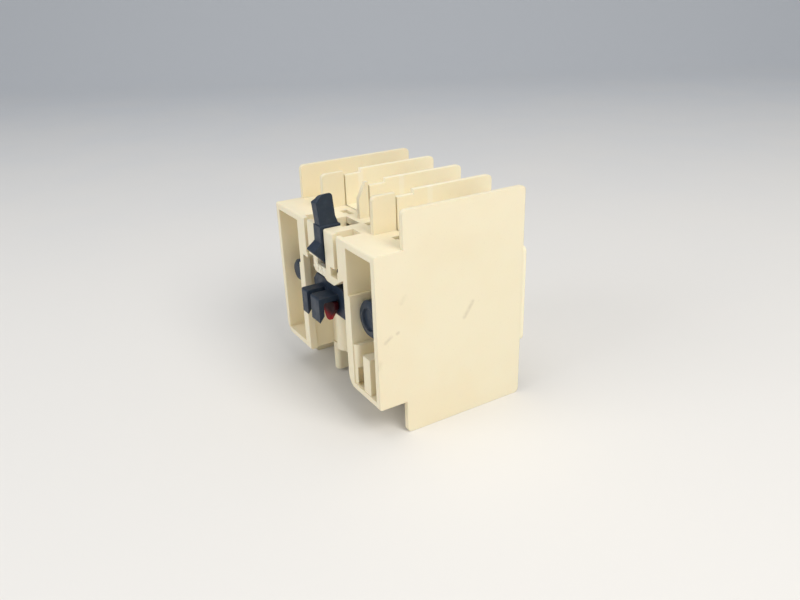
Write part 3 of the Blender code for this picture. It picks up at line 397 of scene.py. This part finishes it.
def red_moulding(name):
    """Deep red moulding, painted as shade above and brighter towards its lower tip as painted light.
    """
    recipe = Recipe(name)
    height = recipe.add("ShaderNodeSeparateXYZ", {"Vector": recipe.place}).outputs["Z"]
    # painted light and shade: lit red low on the tip, dark red painted as shade above it
    tip = recipe.spread(height, RED_PAINTED_LIGHT_LOW, RED_PAINTED_LIGHT_HIGH, 1.0, 0.0)
    patch = recipe.noise(900, 2.0)
    share = recipe.maths("MULTIPLY", tip, recipe.spread(patch, 0.3, 0.6, 0.55, 1.0))
    colour = recipe.blend(share, RED_PAINTED_SHADE, RED)
    pores = recipe.noise(3000, 2.0)
    normal = recipe.grain(pores, 0.2, 0.03 * MM, recipe.soft_edges(0.2 * MM))
    roughness = recipe.spread(patch, 0.3, 0.7, 0.46, 0.6)
    return recipe.finish(
        Base_Color=colour, Roughness=roughness, Specular_IOR_Level=0.1, Normal=normal
    )


def plated_metal(name, light, dark, stretch, base_rough):
    """Rolled or drawn metal: long fine lines and cloudy plating."""
    recipe = Recipe(name)
    cloud = recipe.noise(260, 3.0, 0.6)
    lines = recipe.noise(2400, 2.0, 0.6, stretch=stretch)
    share = recipe.spread(recipe.maths("MULTIPLY", cloud, lines), 0.12, 0.42)
    colour = recipe.blend(share, dark, light)
    roughness = recipe.spread(lines, 0.3, 0.7, base_rough, base_rough + 0.16)
    normal = recipe.grain(lines, 0.3, 0.02 * MM, recipe.soft_edges(0.12 * MM))
    return recipe.finish(Base_Color=colour, Roughness=roughness, Metallic=1.0, Normal=normal)


def card(name):
    """Matt marker strip with a faint fibre."""
    recipe = Recipe(name)
    fibre = recipe.noise(1800, 4.0, 0.7, stretch=(1.0, 1.0, 0.35))
    colour = recipe.blend(recipe.spread(fibre, 0.3, 0.7), CARD, CARD_FIBRE)
    normal = recipe.grain(fibre, 0.15, 0.02 * MM, recipe.soft_edges(0.1 * MM))
    roughness = recipe.spread(fibre, 0.3, 0.7, 0.5, 0.65)
    return recipe.finish(Base_Color=colour, Roughness=roughness, Normal=normal)


CREAM_SHELL = cream_moulding("cream_shell", CREAM, CREAM_WARM, scuffed=True)
# Frame and front nose: the paler cream painted as light, with painted highlight bands on the fins
CREAM_FRAME_PAINTED_LIGHT = cream_moulding("cream_frame_painted_light", FRAME_CREAM_PAINTED_LIGHT, FRAME_WARM_PAINTED_LIGHT, painted_bands=True)
SLATE_PART = slate_moulding("slate_part")
RED_PART = red_moulding("red_part")
BRASS_STRIP = plated_metal("brass_strip", BRASS, BRASS_DARK, (1.0, 1.0, 0.06), 0.24)
ZINC_PART = plated_metal("zinc_part", ZINC, ZINC_DARK, (0.1, 1.0, 1.0), 0.26)
WIRE = plated_metal("spring_wire", STEEL, STEEL_DARK, (1.0, 0.2, 1.0), 0.2)
MARKER = card("marker_card")

DRESS = {
    "housing_shell": CREAM_SHELL,
    "terminal_frame": CREAM_FRAME_PAINTED_LIGHT,
    "front_nose": CREAM_FRAME_PAINTED_LIGHT,
    "marker_plate": MARKER,
    "carriage": SLATE_PART,
    "latch_lever": SLATE_PART,
    "red_insert": RED_PART,
}


def dress_nodes():
    """The material of its own kind on every node."""
    for name, node in NODES.items():
        material = DRESS.get(name)
        if material is None:
            brass = name.startswith(("contact_upper", "contact_lower", "bridge"))
            wire = "spring" in name
            material = BRASS_STRIP if brass else WIRE if wire else ZINC_PART
        for slot in node.material_slots:
            slot.material = material


# Shapes


def sheet_of(points, wrap_u=False, wrap_v=False):
    """Vertices and quads of a grid of points, closed along either side where asked."""
    rows, columns = points.shape[:2]
    index = np.arange(rows * columns).reshape(rows, columns)
    if wrap_u:
        index = np.vstack([index, index[:1]])
    if wrap_v:
        index = np.hstack([index, index[:, :1]])
    quads = np.stack([index[:-1, :-1], index[1:, :-1], index[1:, 1:], index[:-1, 1:]], -1)
    return points.reshape(-1, 3), quads.reshape(-1, 4)


def piece(name, verts, faces, material, body, crease):
    """A closed mesh with its seams and poles merged, riding on a body."""
    mesh = bpy.data.meshes.new(name)
    mesh.from_pydata(verts.tolist(), [], faces.tolist())
    shape = bmesh.new()
    shape.from_mesh(mesh)
    bmesh.ops.remove_doubles(shape, verts=shape.verts, dist=1e-7)
    bmesh.ops.dissolve_degenerate(shape, edges=shape.edges, dist=1e-8)
    bmesh.ops.recalc_face_normals(shape, faces=shape.faces)
    shape.to_mesh(mesh)
    shape.free()
    mesh.materials.append(material)
    mesh.shade_smooth()
    mesh.set_sharp_from_angle(angle=math.radians(crease))
    thing = bpy.data.objects.new(name, mesh)
    bpy.context.scene.collection.objects.link(thing)
    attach(thing, body)
    return thing


def softened(node, body, width, grow=(0, 0, 0)):
    """A moulding in the place of its node, with every outer and inner edge rounded over.

    The node's own faces are merged, its flat faces joined, and a bevel of two steps is
    run along each edge that turns by more than fifty degrees. Where it grows, each point
    moves out from the middle by its share of the growth.
    """
    shape = bmesh.new()
    shape.from_mesh(NODES[node].data)
    bmesh.ops.remove_doubles(shape, verts=shape.verts, dist=1e-6)
    bmesh.ops.dissolve_limit(shape, angle_limit=FLAT_TURN, verts=shape.verts, edges=shape.edges)
    low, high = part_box(node)
    stretch = [1 + 2 * more / (end - start) for more, start, end in zip(grow, low, high)]
    middle = (low + high) / 2
    about = Matrix.Translation(-middle)
    bmesh.ops.scale(shape, vec=stretch, space=about, verts=shape.verts)
    mesh = bpy.data.meshes.new(node + "_moulding")
    shape.to_mesh(mesh)
    shape.free()
    mesh.materials.append(DRESS[node])
    mesh.shade_smooth()
    mesh.set_sharp_from_angle(angle=SMOOTH_TURN)
    thing = bpy.data.objects.new(node + "_moulding", mesh)
    bpy.context.scene.collection.objects.link(thing)
    edge = thing.modifiers.new("rounded_edges", "BEVEL")
    edge.width = width
    edge.segments = 2
    edge.limit_method = "ANGLE"
    edge.angle_limit = EDGE_TURN
    split = thing.modifiers.new("many_sided_faces_split", "TRIANGULATE")
    split.min_vertices = 5
    shading = thing.modifiers.new("flat_faces_kept_flat", "WEIGHTED_NORMAL")
    shading.keep_sharp = True
    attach(thing, body)
    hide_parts(node)
    return thing


def swept_tube(path, radius, sides):
    """A circle carried along a path, square to it, closed by a point at each end."""
    along = np.gradient(path, axis=0)
    along /= np.linalg.norm(along, axis=1)[:, None]
    up = np.array([0.0, 1.0, 0.0])
    side = np.cross(along, up)
    side /= np.linalg.norm(side, axis=1)[:, None]
    other = np.cross(side, along)
    turn = np.linspace(0, 2 * np.pi, sides, endpoint=False)
    ring = np.cos(turn)[None, :, None] * side[:, None]
    ring = ring + np.sin(turn)[None, :, None] * other[:, None]
    rings = path[:, None] + ring * radius
    first = np.repeat(path[:1, None], sides, 1)
    last = np.repeat(path[-1:, None], sides, 1)
    return sheet_of(np.concatenate([first, rings, last]), wrap_v=True)


def coil_path(centre, radius, start, end, turns, steps=28, dead=1.0):
    """A helix round Y whose first and last turns lie flat, as on a ground spring.

    The depth runs with the turns, and slower in the dead turn at each end.
    """
    turn = np.linspace(0, turns, int(turns * steps))
    rise = np.clip((turn - dead) / (turns - 2 * dead), 0, 1)
    first = np.minimum(turn, dead) / dead
    last = np.clip((turn - turns + dead) / dead, 0, 1)
    share = (1 - 2 * DEAD_SHARE) * rise + DEAD_SHARE * (first + last)
    x = centre[0] + radius * np.cos(2 * np.pi * turn)
    z = centre[2] + radius * np.sin(2 * np.pi * turn)
    y = start + (end - start) * share
    return np.stack([x, y, z], -1)


def spring(title, node, coil, body, joint=None, fixed=None):
    """A smooth coil in the place of the node's coil, with a mesh of its own where a joint works it."""
    wire, turns = coil
    low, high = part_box(node)
    centre = (low + high) / 2
    radius = (high.x - low.x) / 2 - wire
    path = coil_path(centre, radius, low.y + wire, high.y - wire, turns)
    verts, faces = swept_tube(path, wire, 12)
    thing = piece(title, verts, faces, WIRE, body, 60)
    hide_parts(node)
    if joint:
        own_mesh(thing)


def screw(name, node):
    """A slotted pan-head screw with a rolled thread.

    The head is cut into slices square to Z. Each slice is a loop in width and depth:
    a flat seat, a short rim, and a crown that falls with the square of the radius.
    Slices inside the slot have the slot's floor in place of the crown.
    """
    low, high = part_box(node)
    middle_x, middle_z = (low.x + high.x) / 2, (low.z + high.z) / 2
    radius = (high.x - low.x) / 2
    face = high.y
    seat = face - HEAD_HEIGHT
    floor = face - SLOT_DEPTH
    curve = np.sin(np.linspace(0, np.pi / 2, 9)[:-1]) * (radius - SLOT_HALF) + SLOT_HALF
    plan = np.concatenate([[0, SLOT_HALF * 0.5, SLOT_HALF, SLOT_HALF], curve[1:], [radius]])
    inside = np.concatenate([[1, 1, 1, 0], np.zeros(len(curve))])
    plan = np.concatenate([-plan[::-1], plan])
    inside = np.concatenate([inside[::-1], inside])
    steps = np.linspace(-1, 1, 17)
    rows = []
    for height, cut in zip(plan, inside):
        width = math.sqrt(max(radius**2 - height**2, 0))
        across = np.sin(steps * np.pi / 2) * width
        reach = (across**2 + height**2) / radius**2
        crown = face - CROWN_DROP * reach**2 - CROWN_EASE * reach
        top = np.minimum(crown, floor) if cut else crown
        seat_row = np.full_like(across, seat)
        loop_x = np.concatenate([across, across[::-1]])
        loop_y = np.concatenate([top, seat_row])
        rows.append(np.stack([middle_x + loop_x, loop_y, np.full_like(loop_x, middle_z + height)], -1))
    head = sheet_of(np.array(rows), wrap_v=True)
    shank = thread((middle_x, middle_z), low.y, seat + SHANK_LAP)
    verts = np.vstack([head[0], shank[0]])
    faces = np.vstack([head[1], shank[1] + len(head[0])])
    thing = piece(name, verts, faces, ZINC_PART, "housing", 40)
    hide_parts(node)


def thread(centre, start, end):
    """A shank whose radius is a triangle wave of depth less turn, which makes a helix."""
    turn = np.linspace(0, 1, 24, endpoint=False)[None, :]
    depth = np.linspace(start, end, int((end - start) / THREAD_PITCH * 6))[:, None]
    phase = (depth / THREAD_PITCH - turn) % 1.0
    wave = np.abs(phase * 2 - 1)
    fade = np.clip((depth - start) / THREAD_PITCH, 0.55, 1.0)
    radius = SHANK_RADIUS * fade - THREAD_DEPTH * wave
    radius = np.vstack([0 * radius[:1], radius, 0 * radius[:1]])
    depth = np.vstack([depth[:1], depth, depth[-1:]])
    x = centre[0] + radius * np.cos(2 * np.pi * turn)
    z = centre[1] + radius * np.sin(2 * np.pi * turn)
    return sheet_of(np.stack([x, depth + 0 * turn, z], -1), wrap_v=True)


def make_screws():
    """A screw in each of the eight terminals."""
    for number in range(1, 5):
        for row in ("upper", "lower"):
            screw(f"screw_head_{row}_{number}", f"screw_{row}_{number}")


def make_springs():
    """The bridges' four coils, the carriage's two return coils and the latch's coil."""
    for number in range(1, 5):
        spring(f"bridge_coil_{number}", f"contact_spring_{number}", CONTACT_COIL, "carriage")
    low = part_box("return_spring_1")[0].y
    for number in (1, 2):
        names = (f"return_coil_{number}", f"return_spring_{number}")
        spring(*names, RETURN_COIL, "housing", RETURN_SQUASH, low)
    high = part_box("latch_spring")[1].y
    spring("latch_coil", "latch_spring", LATCH_COIL, "housing", LATCH_SQUASH, high)


def clamp_plate(name, node, screw_node):
    """A captive clamp plate: a ring between a round hole and a squared rim.

    Round the hole, the rim's reach is a p-norm of the half width and half length. The
    ring goes out along the top and back along the underside. The top is cut by ridges
    across Z, and the underside drops into a lip at each side.
    """
    low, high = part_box(node)
    screw_low, screw_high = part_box(screw_node)
    hole_x = (screw_low.x + screw_high.x) / 2
    hole_z = (screw_low.z + screw_high.z) / 2
    turn = np.linspace(0, 2 * np.pi, 72, endpoint=False)[:, None]
    half_x = (high.x - low.x) / 2
    half_z = np.where(np.sin(turn) > 0, high.z - hole_z, hole_z - low.z)
    wide = np.abs(np.cos(turn) / half_x) ** RIM_SQUARENESS
    long = np.abs(np.sin(turn) / half_z) ** RIM_SQUARENESS
    reach = (wide + long) ** (-1 / RIM_SQUARENESS)
    share = np.concatenate([[0.0], np.linspace(0.02, 0.97, 22), [1.0]])
    share = np.concatenate([share, share[::-1]])[None, :]
    on_top = np.arange(share.size)[None, :] < share.size / 2
    radius = CLAMP_HOLE + (reach - CLAMP_HOLE) * share
    x = radius * np.cos(turn)
    z = radius * np.sin(turn)
    edge = np.where((share > 0.01) & (share < 0.99), 0.0, RIM_EASE)
    ridge = RIDGE_HIGH * np.abs((z / RIDGE_PITCH) % 1.0 * 2 - 1)
    top = high.y - edge - ridge * (edge == 0)
    lip = np.clip((np.abs(x) - half_x + LIP_WIDE) / LIP_RAMP, 0, 1)
    under = high.y - CLAMP_THICK - lip * (high.y - low.y - CLAMP_THICK) + edge
    points = np.stack([hole_x + x, np.where(on_top, top, under), hole_z + z], -1)
    verts, faces = sheet_of(points, wrap_u=True, wrap_v=True)
    thing = piece(name, verts, faces, ZINC_PART, "housing", 40)
    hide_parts(node)


def make_clamps():
    """A clamp plate under each of the eight screws."""
    for number in range(1, 5):
        for row in ("upper", "lower"):
            place = f"{row}_{number}"
            clamp_plate(f"clamp_plate_{place}", f"clamp_{place}", f"screw_{place}")


def lean_tip(mesh):
    """Lower the finger tab's tip towards its -X edge, as the lever's tip slopes.

    The drop is a product of two ramps: one up the tip's height and one across its width.
    """
    place = np.empty(len(mesh.vertices) * 3)
    mesh.vertices.foreach_get("co", place)
    place = place.reshape(-1, 3)
    up = np.clip((place[:, 2] - TIP_START) / TIP_HIGH, 0, 1)
    across = 0.5 - place[:, 0] / (2 * TIP_HALF)
    place[:, 2] -= TIP_DROP * up * across
    mesh.vertices.foreach_set("co", place.ravel())


def make_mouldings():
    """The six mouldings, with their edges rounded over."""
    for node in ("housing_shell", "terminal_frame"):
        softened(node, "housing", SHELL_EDGE)
    softened("front_nose", "housing", SHELL_EDGE, NOSE_GROWTH)
    softened("carriage", "carriage", CARRIAGE_EDGE)
    softened("red_insert", "carriage", INSERT_EDGE)
    lever = softened("latch_lever", "latch", LEVER_EDGE)
    lean_tip(lever.data)


# Studio


def make_sweep():
    """A seamless sweep: level under the block, then a quarter circle up to a wall.

    The profile runs along the view's level direction and is carried square to it. The
    surface is pale, and turns from warm to a cooler, darker tone with its distance
    behind the block, as painted shade of the light's fall-off.
    """
    turn = math.radians(AZIMUTH)
    away = np.array([-math.sin(turn), math.cos(turn), 0.0])
    across = np.array([math.cos(turn), math.sin(turn), 0.0])
    arc = np.linspace(0, np.pi / 2, 33)
    run = np.concatenate([[-SWEEP_FRONT], SWEEP_BACK + SWEEP_RADIUS * np.sin(arc)])
    rise = np.concatenate([[0], SWEEP_RADIUS * (1 - np.cos(arc))])
    run = np.append(run, run[-1])
    rise = np.append(rise, SWEEP_HIGH)
    side = np.linspace(-SWEEP_WIDE, SWEEP_WIDE, 3)
    grid = run[:, None, None] * away + side[None, :, None] * across
    grid = grid + rise[:, None, None] * np.array([0.0, 0.0, 1.0])
    verts, faces = sheet_of(grid)
    mesh = bpy.data.meshes.new("sweep")
    mesh.from_pydata(verts.tolist(), [], faces[:, ::-1].tolist())
    mesh.shade_smooth()
    sweep = bpy.data.objects.new("sweep", mesh)
    bpy.context.scene.collection.objects.link(sweep)
    recipe = Recipe("studio_sweep")
    dot = recipe.add("ShaderNodeVectorMath", operation="DOT_PRODUCT")
    recipe.put(dot.inputs[0], recipe.place)
    dot.inputs[1].default_value = away
    cloud = recipe.spread(recipe.noise(14, 3.0), 0.3, 0.7, -0.05, 0.05)
    distance = recipe.maths("ADD", dot.outputs["Value"], cloud)
    share = recipe.spread(distance, FLOOR_TURN_START, FLOOR_TURN_END)
    # painted shade: the sweep darker and cooler behind the block
    colour = recipe.blend(share, FLOOR_NEAR, FLOOR_FAR_PAINTED_SHADE)
    mesh.materials.append(recipe.finish(Base_Color=colour, Roughness=0.75, Specular_IOR_Level=0.2))


def make_world():
    """An even, faintly cool light from all round."""
    world = bpy.data.worlds.new("studio")
    bpy.context.scene.world = world
    world.use_nodes = True
    back = world.node_tree.nodes["Background"]
    back.inputs["Color"].default_value = WORLD_COLOUR
    back.inputs["Strength"].default_value = WORLD_LEVEL


def area_lamp(name, place, aim, size, power, colour):
    """A soft round lamp turned towards its aim, and out of the camera's sight."""
    lamp = bpy.data.lights.new(name, "AREA")
    lamp.shape = "DISK"
    lamp.size = size
    lamp.energy = power
    lamp.color = colour
    holder = bpy.data.objects.new(name, lamp)
    holder.visible_camera = False
    holder.location = place
    direction = Vector(aim) - Vector(place)
    holder.rotation_euler = direction.to_track_quat("-Z", "Y").to_euler()
    bpy.context.scene.collection.objects.link(holder)


def make_camera():
    """The camera at the photograph's angle, set back from its target along the view."""
    azimuth, elevation, roll = (math.radians(v) for v in (AZIMUTH, ELEVATION, ROLL))
    flat = math.cos(elevation)
    back = Vector((math.sin(azimuth) * flat, -math.cos(azimuth) * flat, math.sin(elevation)))
    data = bpy.data.cameras.new("camera")
    data.sensor_width = SENSOR
    data.lens = FOCAL_PIXELS * SENSOR / PICTURE_WIDTH
    data.clip_start = 0.01
    camera = bpy.data.objects.new("camera", data)
    turn = (-back).to_track_quat("-Z", "Y").to_matrix().to_4x4()
    place = Matrix.Translation(Vector(TARGET) + back * DISTANCE)
    camera.matrix_world = place @ turn @ Matrix.Rotation(roll, 4, "Z")
    bpy.context.scene.collection.objects.link(camera)
    bpy.context.scene.camera = camera


make_camera()
dress_nodes()
make_mouldings()
make_clamps()
make_screws()
make_springs()
make_sweep()
make_world()
for lamp_values in LAMPS:
    area_lamp(*lamp_values)
bpy.context.scene.view_settings.view_transform = "Standard"
